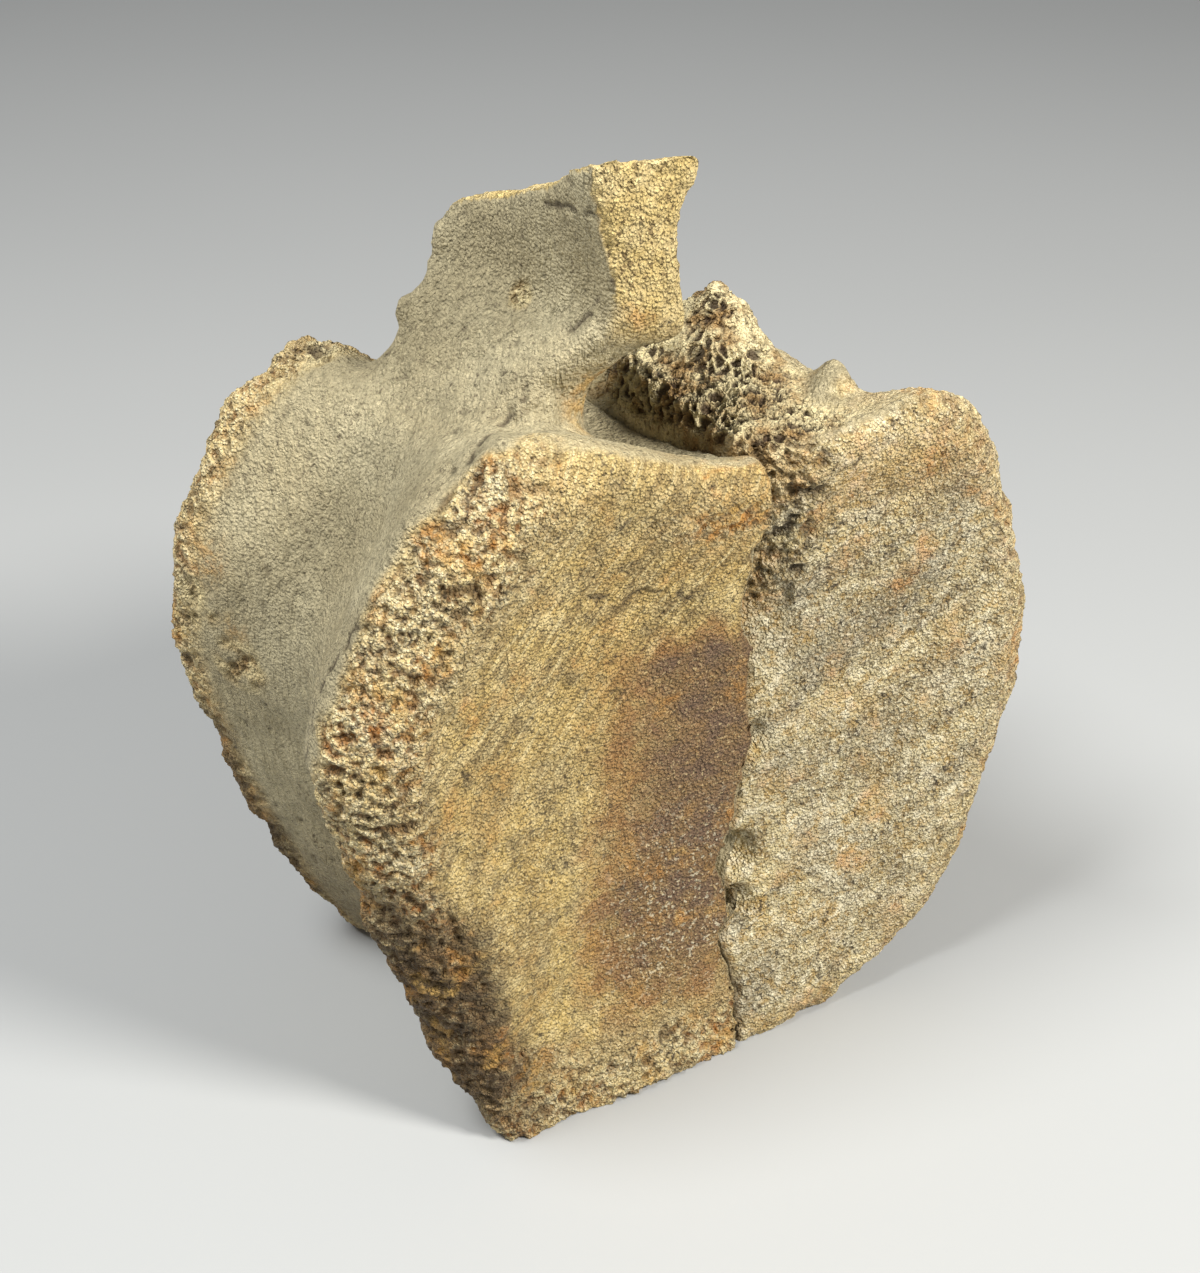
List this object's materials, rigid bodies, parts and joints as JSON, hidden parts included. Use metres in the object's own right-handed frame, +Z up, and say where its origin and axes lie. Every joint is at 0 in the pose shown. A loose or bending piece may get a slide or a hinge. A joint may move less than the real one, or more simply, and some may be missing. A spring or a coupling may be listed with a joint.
{
  "type": "fossil hadrosaur vertebra",
  "caption": "Fossil dinosaur vertebra: a heart-shaped spool centrum cracked through and rejoined, with the left side of its neural arch standing and the right one broken off.",
  "frame": {"origin": "below the middle of the bone, on the surface it stands on", "axes": "+Z up from the belly of the centrum to the neural arch, +Y from the front face to the rear face, +X to the right as seen from the front face"},
  "size_m": [0.154, 0.0812, 0.1937],
  "materials": {
    "tan_bone": "golden tan fossil bone, rough at the rims and darker beside the crack",
    "pale_bone": "pale worn fossil bone with dark specks",
    "grey_bone": "smooth grey-cream fossil bone with fine streaks",
    "spongy_bone": "broken spongy fossil bone with dark pores"
  },
  "bodies": {
    "root": {"centrum_left": "tan_bone", "centrum_right": "pale_bone", "neural_arch_left": "grey_bone", "neural_arch_right": "spongy_bone"}
  },
  "joints": []
}
